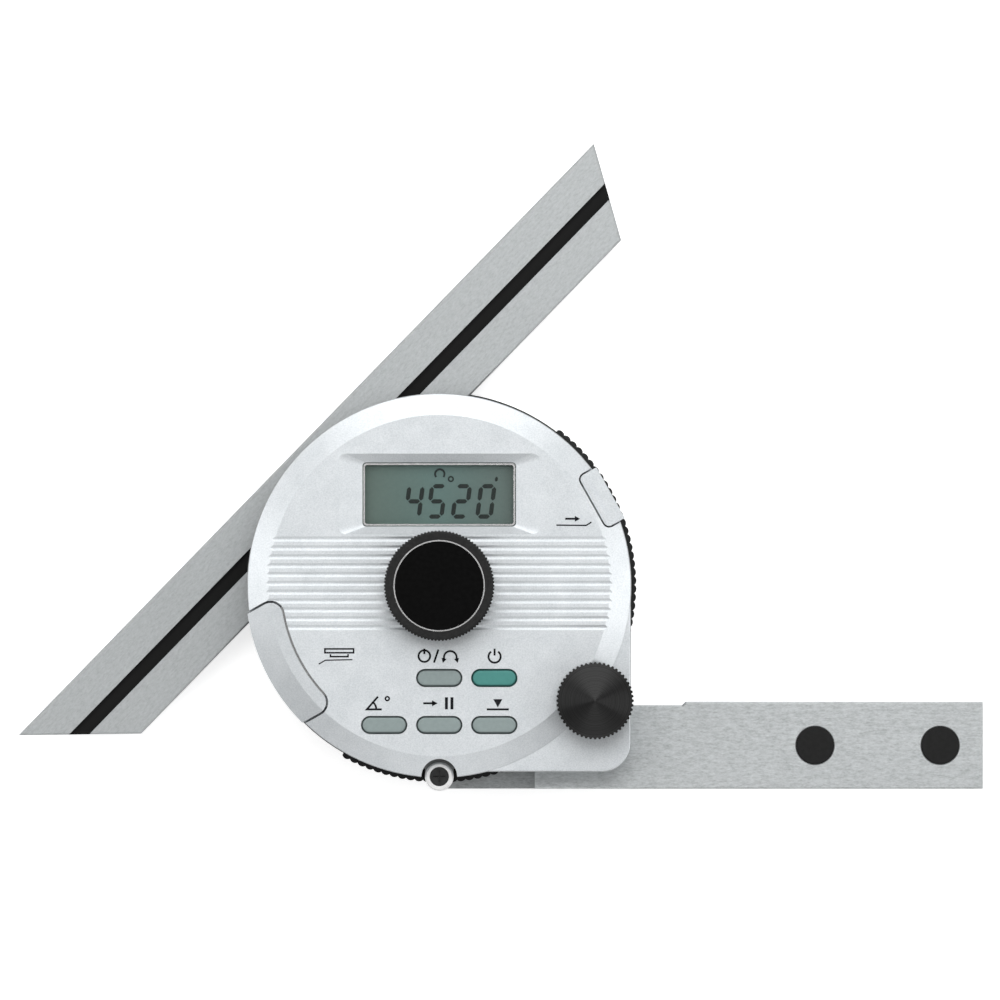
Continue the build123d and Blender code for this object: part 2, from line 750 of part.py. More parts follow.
# Housing: painted shell with the ribbed band, the sunk display and the openings
with BuildPart() as housing:
    add(housing_form.part)
    with BuildSketch(Plane.XY.offset(plate_rear)):
        add(housing_outline(wall))
    extrude(amount=corner_ceiling - plate_rear, mode=Mode.SUBTRACT)
    with Locations((0, 0, corner_ceiling)):
        Cone(
            inner_radius,
            inner_radius - bevel_width,
            ceiling - corner_ceiling,
            align=(Align.CENTER, Align.CENTER, Align.MIN),
            mode=Mode.SUBTRACT,
        )
    # Thicker wall round the window
    with BuildSketch(Plane.XY.offset(window_rear)):
        with Locations((0, window_middle)):
            Rectangle(frame_width + surround_margin, frame_height + surround_margin)
        Circle(rim_radius - wall / 2, mode=Mode.INTERSECT)
    extrude(amount=ceiling - window_rear)
    # Wall round the boss's notch
    with BuildSketch(Plane.XY.offset(plate_front + fit_gap)):
        with Locations(boss_place):
            Circle(boss_radius + boss_notch_gap + notch_wall)
        Circle(rim_radius - wall / 2, mode=Mode.INTERSECT)
    extrude(amount=corner_ceiling - plate_front)
    # Lugs for the short screws, and the pillar for the corner screw
    for angle in lug_angles:
        with BuildSketch(turned_plane(angle, plate_front)):
            with Locations((lug_circle_radius - lug_radius, 0)):
                Rectangle(
                    rim_radius - wall / 2 - lug_circle_radius + lug_radius,
                    2 * lug_radius,
                    align=(Align.MIN, Align.CENTER),
                )
        extrude(amount=lug_height)
    with BuildSketch(spot(corner_screw_place, plate_front)):
        Circle(2 * screw_radius)
    extrude(amount=corner_ceiling - plate_front)
    # Posts for the circuit board
    with BuildSketch(Plane.XY.offset(board_front)):
        with Locations(*post_places):
            Circle(post_radius)
    extrude(amount=ceiling - board_front)
    # Guides for the battery drawer, with ledges under it
    with BuildSketch(turned_plane(drawer_angle, drawer_rear - run_gap)):
        for side in (-1, 1):
            with Locations((drawer_end, drawer_offset + side * (guide_end - guide_wall / 2))):
                Rectangle(
                    inner_radius - drawer_end, guide_wall, align=(Align.MIN, Align.CENTER)
                )
        Circle(rim_radius - wall / 2, mode=Mode.INTERSECT)
    extrude(amount=ceiling - drawer_rear)
    with BuildSketch(turned_plane(drawer_angle, drawer_rear - run_gap)):
        for side in (-1, 1):
            with Locations((drawer_end, drawer_offset + side * (guide_end - guide_wall))):
                Rectangle(
                    inner_radius - drawer_end, 2 * guide_wall, align=(Align.MIN, Align.CENTER)
                )
        Circle(rim_radius - wall / 2, mode=Mode.INTERSECT)
    extrude(amount=-drawer_ledge)
    # Sloped surround of the display, and its window
    with BuildSketch(Plane.XY.offset(face_level)):
        with Locations((0, frame_middle)):
            RectangleRounded(frame_width, frame_height, frame_corner)
    with BuildSketch(Plane.XY.offset(surround_level)):
        with Locations((0, window_middle)):
            RectangleRounded(window_width, window_height, window_corner)
    loft(mode=Mode.SUBTRACT)
    with BuildSketch(Plane.XY.offset(window_rear)):
        add(window_outline(0))
    extrude(amount=surround_level - window_rear, mode=Mode.SUBTRACT)
    # Ribbed band, plain under the centre knob
    with BuildSketch(Plane.XY.offset(face_level)):
        with Locations((0, rib_middle)):
            with GridLocations(rib_pitch, rib_pitch, 1, rib_count):
                Rectangle(2 * rim_radius, rib_groove_width)
        Circle(pad_radius, mode=Mode.SUBTRACT)
    extrude(amount=-rib_groove_depth, taper=rib_wall_angle, mode=Mode.SUBTRACT)
    # Openings for the buttons and their flanges
    with BuildSketch(Plane.XY.offset(corner_ceiling)):
        with Locations(*button_places):
            SlotOverall(
                button_length + 2 * button_flange + 2 * button_gap,
                button_width + 2 * button_flange + 2 * button_gap,
            )
    extrude(amount=ceiling - corner_ceiling, mode=Mode.SUBTRACT)
    with BuildSketch(Plane.XY.offset(ceiling)):
        with Locations(*button_places):
            SlotOverall(button_length + 2 * button_gap, button_width + 2 * button_gap)
    extrude(amount=wall, mode=Mode.SUBTRACT)
    # Openings for the stud, the fine knob's bush, the boss, the drawer and the port's cover
    with BuildSketch(Plane.XY.offset(ceiling)):
        Circle(stud_radius + side_gap)
    extrude(amount=wall, mode=Mode.SUBTRACT)
    with BuildSketch(spot((fine_x, -fine_below), corner_ceiling)):
        Circle(fine_bush_radius)
    extrude(amount=face_level - corner_ceiling, mode=Mode.SUBTRACT)
    with BuildSketch(spot(boss_place, plate_rear)):
        Circle(boss_radius + boss_notch_gap)
    extrude(amount=housing_depth, mode=Mode.SUBTRACT)
    with BuildSketch(turned_plane(drawer_angle, drawer_rear - fit_gap)):
        add(drawer_band(drawer_line))
    extrude(amount=housing_depth, mode=Mode.SUBTRACT)
    with BuildSketch(turned_plane(port_angle, port_rear - fit_gap)):
        add(port_band(port_line))
    extrude(amount=housing_depth, mode=Mode.SUBTRACT)
    # Room for the pinion's teeth beside the corner's wall
    with BuildSketch(spot((fine_x, -fine_below), plate_front)):
        Circle(gear_module * (pinion_teeth / 2 + 1) + fit_gap)
    extrude(amount=gear_front + side_gap - plate_front, mode=Mode.SUBTRACT)
    # Screw holes
    for angle in lug_angles:
        with BuildSketch(spot(polar(lug_circle_radius, angle), plate_front)):
            Circle(short_screw_radius)
        extrude(amount=lug_height, mode=Mode.SUBTRACT)
    with BuildSketch(spot(corner_screw_place, plate_front)):
        Circle(screw_radius)
    extrude(amount=lug_height, mode=Mode.SUBTRACT)
    with BuildSketch(Plane.XY.offset(board_front)):
        with Locations(*post_places):
            Circle(post_screw_radius)
    extrude(amount=window_rear - board_front, mode=Mode.SUBTRACT)
housing.part.label = "housing"

# Housing screws: short ones from the frame plate's rear, and a long one through the stock
with BuildPart() as housing_screws:
    for angle in lug_angles:
        place = polar(lug_circle_radius, angle)
        with BuildSketch(spot(place, plate_rear)):
            Circle(short_screw_head)
        extrude(amount=screw_head_height)
        with BuildSketch(spot(place, plate_rear)):
            Rectangle(edge_break, short_screw_head * 2)
        extrude(amount=screw_head_height / 2, mode=Mode.SUBTRACT)
        with BuildSketch(spot(place, plate_rear + screw_head_height)):
            Circle(short_screw_radius)
        extrude(amount=short_screw_length - screw_head_height)
housing_screws.part.label = "housing_screws"

with BuildPart() as corner_screw:
    with BuildSketch(spot(corner_screw_place, stock_rear + fit_gap)):
        Circle(screw_head_radius)
    extrude(amount=screw_head_height)
    with BuildSketch(spot(corner_screw_place, stock_rear + fit_gap)):
        Rectangle(edge_break, screw_head_radius * 2)
    extrude(amount=screw_head_height / 2, mode=Mode.SUBTRACT)
    with BuildSketch(spot(corner_screw_place, stock_rear + fit_gap + screw_head_height)):
        Circle(screw_radius)
    extrude(amount=plate_front + lug_height - stock_rear - fit_gap - screw_head_height)
corner_screw.part.label = "corner_screw"

# Display: panel on the board, clear window over it, thin bright bezel round the window
with BuildPart() as display_panel:
    with BuildSketch(Plane.XY.offset(board_front + fit_gap)):
        with Locations((0, window_middle)):
            Rectangle(window_width + 2 * panel_overlap, window_height + 2 * panel_overlap)
    extrude(amount=window_rear - board_front - fit_gap)
display_panel.part.label = "display_panel"

with BuildPart() as display_window:
    with BuildSketch(Plane.XY.offset(window_rear)):
        add(window_outline(run_gap))
    extrude(amount=window_thickness)
display_window.part.label = "display_window"

with BuildPart() as display_bezel:
    with BuildSketch(Plane.XY.offset(bezel_rear)):
        add(window_outline(bezel_gap))
        add(window_outline(bezel_gap + bezel_width), mode=Mode.SUBTRACT)
    extrude(amount=bezel_height)
display_bezel.part.label = "display_bezel"

# Circuit board, which also holds the fixed side of the encoder
with BuildPart() as circuit_board:
    with BuildSketch(Plane.XY.offset(board_rear)):
        Circle(board_radius)
        Circle(stud_radius + plate_gap, mode=Mode.SUBTRACT)
        with Locations(boss_place):
            Circle(boss_radius + boss_notch_gap + notch_wall + side_gap, mode=Mode.SUBTRACT)
        with Locations(*post_places):
            Circle(post_screw_radius, mode=Mode.SUBTRACT)
    extrude(amount=board_thickness)
    with BuildSketch(turned_plane(drawer_angle, board_rear)):
        with Locations((contact_place - contact_thickness - fit_gap, drawer_offset)):
            Rectangle(
                rim_radius, 2 * (guide_end + side_gap), align=(Align.MIN, Align.CENTER)
            )
    extrude(amount=board_thickness, mode=Mode.SUBTRACT)
    with BuildSketch(turned_plane(port_angle, board_rear)):
        with Locations((socket_inner - fit_gap, port_offset)):
            Rectangle(rim_radius, socket_width + 2 * fit_gap, align=(Align.MIN, Align.CENTER))
    extrude(amount=board_thickness, mode=Mode.SUBTRACT)
circuit_board.part.label = "circuit_board"

with BuildPart() as board_screws:
    with BuildSketch(Plane.XY.offset(board_rear - post_head_height)):
        with Locations(*post_places):
            Circle(post_head_radius)
    extrude(amount=post_head_height)
    with BuildSketch(Plane.XY.offset(board_rear)):
        with Locations(*post_places):
            Circle(post_screw_radius)
    extrude(amount=window_rear - board_rear)
board_screws.part.label = "board_screws"

# Keypad mat: one sheet with a pad under each button
with BuildPart() as keypad_mat:
    with BuildSketch(Plane.XY.offset(board_front)):
        with Locations(*button_places):
            SlotOverall(
                button_length + 2 * button_flange, button_width + 2 * button_flange
            )
        with Locations((button_pitch / 2, -upper_row)):
            Rectangle(button_pitch, button_width)
        with Locations((0, -lower_row)):
            Rectangle(2 * button_pitch, button_width)
        with Locations((button_pitch / 2, -(upper_row + lower_row) / 2)):
            Rectangle(button_width, lower_row - upper_row)
    extrude(amount=(mat_front - board_front) / 2)
    with BuildSketch(Plane.XY.offset((mat_front + board_front) / 2)):
        with Locations(*button_places):
            SlotOverall(button_length, button_width)
    extrude(amount=(mat_front - board_front) / 2)
keypad_mat.part.label = "keypad_mat"

# Buttons: pill-shaped caps with a flange under the housing
button_names = ("button_upper_middle", "button_upper_right")
button_names += ("button_lower_left", "button_lower_middle", "button_lower_right")
for name, place in zip(button_names, button_places):
    with BuildPart() as button:
        with BuildSketch(spot(place, flange_rear)):
            SlotOverall(
                button_length + 2 * button_flange, button_width + 2 * button_flange
            )
        extrude(amount=button_flange)
        with BuildSketch(spot(place, flange_front)):
            SlotOverall(button_length, button_width)
        extrude(amount=face_level + button_stand - flange_front)
        fillet(button.edges().group_by(Axis.Z)[-1], button_stand)
    button.part.label = name
    export_step(button.part, f"parts/{name}.step")

# Drive gear on the turret's neck, and the encoder disc on the gear
with BuildPart() as drive_gear:
    with BuildSketch(Plane.XY.offset(gear_rear)):
        add(gear_outline(drive_teeth))
        Circle(neck_radius, mode=Mode.SUBTRACT)
    extrude(amount=gear_thickness)
drive_gear.part.label = "drive_gear"

with BuildPart() as encoder_disc:
    with BuildSketch(Plane.XY.offset(gear_front)):
        Circle(encoder_radius)
        Circle(stud_radius, mode=Mode.SUBTRACT)
    extrude(amount=encoder_thickness)
encoder_disc.part.label = "encoder_disc"

with BuildPart() as rotor_nut:
    with BuildSketch(Plane.XY.offset(encoder_front)):
        RegularPolygon(rotor_nut_across / 2, 6, major_radius=False)
        Circle(stud_radius, mode=Mode.SUBTRACT)
    extrude(amount=rotor_nut_height)
rotor_nut.part.label = "rotor_nut"

# Clamp stud: head in the turret base, shank through every layer up to the centre knob
with BuildPart() as clamp_stud:
    with BuildSketch():
        Circle(stud_head_radius)
    extrude(amount=stud_head_height)
    with BuildSketch():
        Circle(stud_radius)
    extrude(amount=knob_front - knob_height / 2)
    with BuildSketch():
        with Locations((spanner_hole_offset, 0), (-spanner_hole_offset, 0)):
            Circle(spanner_hole_radius)
    extrude(amount=spanner_hole_depth, mode=Mode.SUBTRACT)
clamp_stud.part.label = "clamp_stud"

with BuildPart() as thrust_washer:
    with BuildSketch(Plane.XY.offset(face_level)):
        Circle(thrust_radius)
        Circle(stud_radius + side_gap, mode=Mode.SUBTRACT)
    extrude(amount=thrust_thickness)
thrust_washer.part.label = "thrust_washer"

# Blank of the centre knob, with the chamfers that cut the knurl's ends
with BuildPart() as knob_blank:
    with BuildSketch(Plane.XY.offset(knob_rear)):
        Circle(knob_radius)
    extrude(amount=knob_height)
    chamfer(knob_blank.edges(), knob_edge)

# Centre knob: straight knurl, blind bore for the stud and a seat for the glossy disc
with BuildPart() as clamp_knob:
    with BuildSketch(Plane.XY.offset(knob_rear)):
        add(toothed_outline(knob_radius, knob_radius - knob_tooth_depth, knob_teeth, *knob_tooth_shares))
    extrude(amount=knob_height)
    add(knob_blank.part, mode=Mode.INTERSECT)
    with BuildSketch(Plane.XY.offset(knob_rear)):
        Circle(stud_radius + run_gap)
    extrude(amount=knob_height / 2 + side_gap, mode=Mode.SUBTRACT)
    with BuildSketch(Plane.XY.offset(knob_front)):
        Circle(knob_disc_radius + knob_ring_width)
    extrude(amount=-knob_disc_depth, mode=Mode.SUBTRACT)
clamp_knob.part.label = "clamp_knob"

with BuildPart() as knob_ring:
    with BuildSketch(Plane.XY.offset(knob_front - knob_disc_depth)):
        Circle(knob_disc_radius + knob_ring_width)
        Circle(knob_disc_radius, mode=Mode.SUBTRACT)
    extrude(amount=knob_disc_depth + run_gap)
knob_ring.part.label = "knob_ring"

with BuildPart() as knob_disc:
    with BuildSketch(Plane.XY.offset(knob_front - knob_disc_depth)):
        Circle(knob_disc_radius)
    extrude(amount=knob_disc_depth)
knob_disc.part.label = "knob_disc"

# Fine feed: pinion and knob on one shaft, which turns in the frame plate and in a bush
fine_place = (fine_x, -fine_below)
with BuildPart() as fine_shaft:
    with BuildSketch(spot(fine_place, plate_rear + side_gap)):
        Circle(fine_shaft_radius)
    extrude(amount=fine_front - fine_height / 2 - plate_rear - side_gap)
fine_shaft.part.label = "fine_shaft"

with BuildPart() as fine_pinion:
    with BuildSketch(spot(fine_place, gear_rear)):
        add(gear_outline(pinion_teeth, pinion_phase))
        Circle(fine_shaft_radius, mode=Mode.SUBTRACT)
    extrude(amount=gear_thickness)
fine_pinion.part.label = "fine_pinion"

with BuildPart() as fine_bush:
    with BuildSketch(spot(fine_place, corner_ceiling)):
        Circle(fine_bush_radius)
        Circle(fine_shaft_radius + run_gap, mode=Mode.SUBTRACT)
    extrude(amount=fine_rear - fit_gap - corner_ceiling)
fine_bush.part.label = "fine_bush"

with BuildPart() as fine_knob:
    with BuildSketch(spot(fine_place, fine_rear)):
        add(toothed_outline(fine_radius, fine_radius - fine_tooth_depth, fine_teeth, *fine_tooth_shares))
    extrude(amount=fine_height - fine_cone_height)
    with Locations((*fine_place, fine_front - fine_cone_height)):
        Cone(
            fine_cone_radius,
            fine_cone_radius / fine_teeth,
            fine_cone_height,
            align=(Align.CENTER, Align.CENTER, Align.MIN),
        )
    with BuildSketch(spot(fine_place, fine_rear)):
        Circle(fine_shaft_radius)
    extrude(amount=fine_height / 2, mode=Mode.SUBTRACT)
fine_knob.part.label = "fine_knob"

# Battery drawer: cover that follows the housing's form, and a tray for the cell behind it
with BuildPart() as battery_drawer:
    with BuildSketch(Plane.XY.offset(drawer_rear)):
        Circle(rim_radius + drawer_stand)
    extrude(amount=rim_level - drawer_rear)
    with Locations((0, 0, rim_level)):
        Cone(
            rim_radius + drawer_stand,
            face_radius,
            bevel_height,
            align=(Align.CENTER, Align.CENTER, Align.MIN),
        )
    with BuildSketch(turned_plane(drawer_angle, drawer_rear)):
        add(drawer_band(0))
    extrude(amount=housing_depth, mode=Mode.INTERSECT)
    with BuildSketch(turned_plane(drawer_angle, drawer_rear)):
        with Locations((drawer_end, drawer_offset)):
            Rectangle(
                inner_radius - wall - drawer_end, 2 * drawer_half, align=(Align.MIN, Align.CENTER)
            )
    extrude(amount=cell_front - drawer_rear)
    with BuildSketch(turned_plane(drawer_angle, cell_rear)):
        with Locations((cell_middle, drawer_offset)):
            Circle(cell_radius + fit_gap)
    extrude(amount=cell_thickness + fit_gap, mode=Mode.SUBTRACT)
    with BuildSketch(turned_plane(drawer_angle, drawer_rear)):
        with Locations((cell_middle, drawer_offset)):
            Circle(cell_radius / 2)
    extrude(amount=drawer_floor, mode=Mode.SUBTRACT)
battery_drawer.part.label = "battery_drawer"

with BuildPart() as coin_cell:
    with BuildSketch(turned_plane(drawer_angle, cell_rear)):
        with Locations((cell_middle, drawer_offset)):
            Circle(cell_radius - cell_step)
    extrude(amount=cell_step)
    with BuildSketch(turned_plane(drawer_angle, cell_rear + cell_step)):
        with Locations((cell_middle, drawer_offset)):
            Circle(cell_radius)
    extrude(amount=cell_thickness - cell_step)
coin_cell.part.label = "coin_cell"

# Battery contacts: a leaf over the cell and one against its inner end
with BuildPart() as battery_contacts:
    with BuildSketch(turned_plane(drawer_angle, ceiling)):
        with Locations((drawer_end, drawer_offset)):
            Rectangle(cell_radius, contact_width, align=(Align.MIN, Align.CENTER))
    extrude(amount=-contact_thickness)
    with BuildSketch(turned_plane(drawer_angle, ceiling)):
        with Locations((contact_place, drawer_offset)):
            Rectangle(contact_thickness, contact_width, align=(Align.MAX, Align.CENTER))
    extrude(amount=board_rear - ceiling)
battery_contacts.part.label = "battery_contacts"

# Data port: socket in the board's cut-out, and the cover that closes it
with BuildPart() as data_socket:
    with BuildSketch(turned_plane(port_angle, socket_rear)):
        with Locations((socket_inner, port_offset)):
            Rectangle(
                socket_outer - socket_inner, socket_width, align=(Align.MIN, Align.CENTER)
            )
    extrude(amount=socket_height)
    with BuildSketch(turned_plane(port_angle, socket_rear + socket_wall)):
        with Locations((socket_inner + socket_wall, port_offset)):
            Rectangle(
                socket_outer - socket_inner,
                socket_width - 2 * socket_wall,
                align=(Align.MIN, Align.CENTER),
            )
    extrude(amount=socket_height - 2 * socket_wall, mode=Mode.SUBTRACT)
data_socket.part.label = "data_socket"

port_side = Plane(
    origin=(0, 0, 0), x_dir=(*polar(1, port_angle), 0), z_dir=(*polar(1, port_angle - 90), 0)
)
tab_gap = 2 * fit_gap
with BuildPart() as port_cover:
    with BuildSketch(port_side):
        Polygon(
            (port_inner, port_rear),
            (port_outer, port_rear),
            (port_outer, rim_level + port_rise),
            (port_inner, rim_level + port_rise),
            align=None,
        )
    extrude(amount=port_width, both=True)
    with BuildSketch(turned_plane(port_angle, port_rear)):
        add(port_band(0))
    extrude(amount=housing_depth, mode=Mode.INTERSECT)
    with BuildSketch(turned_plane(port_angle, socket_rear + socket_wall + tab_gap)):
        with Locations((port_inner - tab_length, port_offset)):
            Rectangle(
                tab_length + port_corner,
                socket_width - 2 * socket_wall - 2 * tab_gap,
                align=(Align.MIN, Align.CENTER),
            )
    extrude(amount=socket_height - 2 * socket_wall - 2 * tab_gap)
port_cover.part.label = "port_cover"

for piece in (
    blade,
    turret_base,
    turret_ring,
    turret_screws,
    blade_hook,
    hook_nut,
    stock,
    stock_plugs,
    frame_plate,
    frame_screws,
    bearing_bush,
    friction_washer,
    edge_boss,
    edge_boss_screw,
    housing,
    housing_screws,
    corner_screw,
    display_panel,
    display_window,
    display_bezel,
    circuit_board,
    board_screws,
    keypad_mat,
    drive_gear,
    encoder_disc,
    rotor_nut,
    clamp_stud,
    thrust_washer,
    clamp_knob,
    knob_ring,
    knob_disc,
    fine_shaft,
    fine_pinion,
    fine_bush,
    fine_knob,
    battery_drawer,
    coin_cell,
    battery_contacts,
    data_socket,
    port_cover,
):
    export_step(piece.part, f"parts/{piece.part.label}.step")
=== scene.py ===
# Looks of the digital bevel protractor: finishes, display digits, printed signs, lights and camera.
from math import cos, radians, sin

import bmesh
import bpy
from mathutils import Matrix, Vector


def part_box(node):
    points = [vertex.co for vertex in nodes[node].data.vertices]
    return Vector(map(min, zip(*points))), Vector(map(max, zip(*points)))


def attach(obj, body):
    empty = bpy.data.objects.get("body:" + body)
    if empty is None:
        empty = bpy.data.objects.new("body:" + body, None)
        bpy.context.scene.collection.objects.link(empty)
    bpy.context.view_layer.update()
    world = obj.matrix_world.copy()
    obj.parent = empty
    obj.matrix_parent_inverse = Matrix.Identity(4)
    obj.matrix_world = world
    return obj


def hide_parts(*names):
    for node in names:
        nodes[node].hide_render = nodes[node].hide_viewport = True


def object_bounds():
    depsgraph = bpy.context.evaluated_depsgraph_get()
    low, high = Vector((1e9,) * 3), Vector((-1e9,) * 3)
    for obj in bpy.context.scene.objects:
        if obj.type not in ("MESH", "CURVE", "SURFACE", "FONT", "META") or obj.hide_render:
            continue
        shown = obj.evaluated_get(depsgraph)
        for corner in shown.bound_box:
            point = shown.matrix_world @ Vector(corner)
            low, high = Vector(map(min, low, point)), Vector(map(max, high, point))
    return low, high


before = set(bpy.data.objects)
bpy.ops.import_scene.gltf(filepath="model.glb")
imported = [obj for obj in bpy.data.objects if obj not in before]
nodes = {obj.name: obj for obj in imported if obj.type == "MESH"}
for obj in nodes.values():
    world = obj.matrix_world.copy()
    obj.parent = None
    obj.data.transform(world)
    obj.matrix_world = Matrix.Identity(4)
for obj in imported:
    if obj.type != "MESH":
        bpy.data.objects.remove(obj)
cad_low, cad_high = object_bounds()
MM = 0.001

# Facts of the object that the finishes follow
BLADE_ANGLE = radians(45.8)
BLADE_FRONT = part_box("blade")[1].z
GROOVE_MIDDLE = 28.05 * MM          # from the turret's axis, across the blade
GROOVE_WIDTH = 2.6 * MM
GROOVE_DEPTH = 0.8 * MM
GROOVE_EDGE = 0.03 * MM             # how far the paint stays below the blade's face
FINE_CENTRE = (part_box("fine_shaft")[0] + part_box("fine_shaft")[1]) / 2
FACE_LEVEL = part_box("housing")[1].z
PANEL_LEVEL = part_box("display_panel")[1].z

# Photograph: its middle over the object, and how much of the object's plane it shows
VIEW_MIDDLE = Vector((11.0 * MM, 15.5 * MM, 0))
VIEW_WIDTH = 181.9 * MM
CAMERA_HEIGHT = 5.0
CAMERA_REACH = 100                  # farthest that the camera sees, in metres
SENSOR = 36.0                       # in the camera's own millimetres

# Finishes: depth of their relief, and grain per metre along, across and through a ground piece
COARSE_RELIEF = 0.03 * MM
FINE_RELIEF = 0.02 * MM
SPECKLE_GRAIN = (2100, 4600, 4600)
CLOUD_GRAIN = (18, 60, 60)
TURNING_MARKS = 9000                # rings per metre of radius
CROWN = 0.09                        # outward lean of the fine knob's turned face

# Studio: name, place in metres, width and height in metres, and watts of each light
LIGHTS = (
    ("north_light", (0.0, 0.50, 0.72), (0.8, 0.85), 5.65),
    ("low_north_light", (0.0, 0.85, 0.22), (1.2, 0.25), 0.7),
    ("west_light", (-0.65, 0.05, 0.55), (0.45, 0.4), 1.6),
    ("east_light", (0.68, -0.05, 0.55), (0.55, 0.4), 2.1),
    ("south_light", (0.0, -0.60, 0.50), (0.5, 0.35), 0.6),
)
WORLD_STRENGTH = 0.34
FLOOR_REACH = 4.0
FLOOR_GAP = 0.2 * MM                # keeps the floor off the turret's rear face
FLOOR_LIFT = 0.60                   # glow that turns the floor white for the camera

# Display: its digits and marks, with places from the turret's axis and sizes in millimetres
SHOWN_ANGLE = "4520"                # 45 degrees 20 minutes, as photographed
DIGIT_MIDDLES = (-4.55, -0.45, 4.0, 8.45)
DIGIT_LEVEL = 15.25
DIGIT_SIZE = (2.4, 5.5)
DIGIT_STROKE = 0.78
DIGIT_GAP = 0.12                    # between the bars of a digit
DIGIT_SLANT = 0.13                  # lean to the right, as a share of the height
DEGREE_MARK = (2.1, 19.3)
MINUTE_MARK = ((10.45, 19.75), (10.25, 18.8))
TURN_MARK = (0.1, 20.2)

# Signs: width of their lines and the levels of the two rows, in millimetres
SIGN_LINE = 0.36
ARROW_SHARE = 0.55                  # half width of an arrow's head as a share of its length
BLUNTEST_MITRE = 0.3                # keeps the mitre of a sharp corner short
UPPER_ROW = -12.75
LOWER_ROW = -21.3

# Print, digits and pane: how far each stands off its surface, its thickness, and the pane's corners
SIGN_OFFSET = 0.005 * MM
SIGN_THICKNESS = 0.015 * MM
DIGIT_OFFSET = 0.01 * MM
DIGIT_THICKNESS = 0.02 * MM
PANE_OFFSET = 0.1 * MM
PANE_CORNER = 0.7 * MM


def make_camera():
    data = bpy.data.cameras.new("photo_camera")
    data.sensor_width = SENSOR
    data.lens = SENSOR * CAMERA_HEIGHT / VIEW_WIDTH
    data.clip_end = CAMERA_REACH
    camera = bpy.data.objects.new("photo_camera", data)
    camera.location = VIEW_MIDDLE + Vector((0, 0, CAMERA_HEIGHT))
    bpy.context.scene.collection.objects.link(camera)
    bpy.context.scene.camera = camera


# Node helpers

def new_material(name):
    mat = bpy.data.materials.new(name)
    mat.use_nodes = True
    return mat, mat.node_tree, mat.node_tree.nodes["Principled BSDF"]


def add(tree, kind, **settings):
    node = tree.nodes.new(kind)
    for key, value in settings.items():
        setattr(node, key, value)
    return node


def feed(tree, value, socket):
    """Give a socket its value: a constant, or what another node puts out."""
    if isinstance(value, bpy.types.NodeSocket):
        tree.links.new(value, socket)
    else:
        socket.default_value = value


def calculate(tree, operation, *values):
    node = add(tree, "ShaderNodeMath", operation=operation)
    for value, socket in zip(values, node.inputs):
        feed(tree, value, socket)
    return node.outputs["Value"]


def calculate_vector(tree, operation, *values, result="Vector"):
    node = add(tree, "ShaderNodeVectorMath", operation=operation)
    for value, socket in zip(values, node.inputs):
        feed(tree, value, socket)
    return node.outputs[result]


# A mix node's sockets by what it mixes: first value, second value and result
MIX_SOCKETS = {"FLOAT": (2, 3, 0), "RGBA": (6, 7, 2)}


def mix(tree, kind, share, first, second, blend="MIX"):
    node = add(tree, "ShaderNodeMix", data_type=kind, blend_type=blend)
    first_socket, second_socket, result = MIX_SOCKETS[kind]
    feed(tree, share, node.inputs["Factor"])
    feed(tree, first, node.inputs[first_socket])
    feed(tree, second, node.inputs[second_socket])
    return node.outputs[result]


def separate(tree, vector):
    node = add(tree, "ShaderNodeSeparateXYZ")
    tree.links.new(vector, node.inputs["Vector"])
    return node.outputs


def local_point(tree, turn=0.0, stretch=(1, 1, 1)):
    """The point on the piece in its own frame, turned about Z and then stretched."""
    coordinates = add(tree, "ShaderNodeTexCoord")
    turned = add(tree, "ShaderNodeMapping")
    turned.inputs["Rotation"].default_value = (0, 0, -turn)
    scaled = add(tree, "ShaderNodeMapping")
    scaled.inputs["Scale"].default_value = stretch
    tree.links.new(coordinates.outputs["Object"], turned.inputs["Vector"])
    tree.links.new(turned.outputs["Vector"], scaled.inputs["Vector"])
    return scaled.outputs["Vector"]


def noise(tree, vector, scale=1.0, detail=3.0, roughness=0.5):
    node = add(tree, "ShaderNodeTexNoise")
    node.inputs["Scale"].default_value = scale
    node.inputs["Detail"].default_value = detail
    node.inputs["Roughness"].default_value = roughness
    tree.links.new(vector, node.inputs["Vector"])
    return node.outputs["Fac"]


def ramp(tree, value, stops):
    node = add(tree, "ShaderNodeValToRGB")
    elements = node.color_ramp.elements
    for element, (position, color) in zip(elements, (stops[0], stops[-1])):
        element.position = position
        element.color = (*color, 1)
    for position, color in stops[1:-1]:
        elements.new(position).color = (*color, 1)
    tree.links.new(value, node.inputs["Fac"])
    return node.outputs["Color"]


def span(tree, value, low, high, from_low=0.0, from_high=1.0):
    node = add(tree, "ShaderNodeMapRange")
    node.inputs["From Min"].default_value = from_low
    node.inputs["From Max"].default_value = from_high
    node.inputs["To Min"].default_value = low
    node.inputs["To Max"].default_value = high
    tree.links.new(value, node.inputs["Value"])
    return node.outputs["Result"]


def bump(tree, bsdf, value, strength, depth, normal=None):
    node = add(tree, "ShaderNodeBump")
    if normal:
        tree.links.new(normal, node.inputs["Normal"])
    node.inputs["Strength"].default_value = strength
    node.inputs["Distance"].default_value = depth
    tree.links.new(value, node.inputs["Height"])
    tree.links.new(node.outputs["Normal"], bsdf.inputs["Normal"])


def tinted(value, red=1.0, green=1.0, blue=1.0):
    """Colour of one brightness, with a share of it for each of red, green and blue."""
    return (value * red, value * green, value * blue)


def grey(value):
    return tinted(value)


def steel_grey(value):
    return tinted(value, red=0.96, blue=1.01)


# Materials

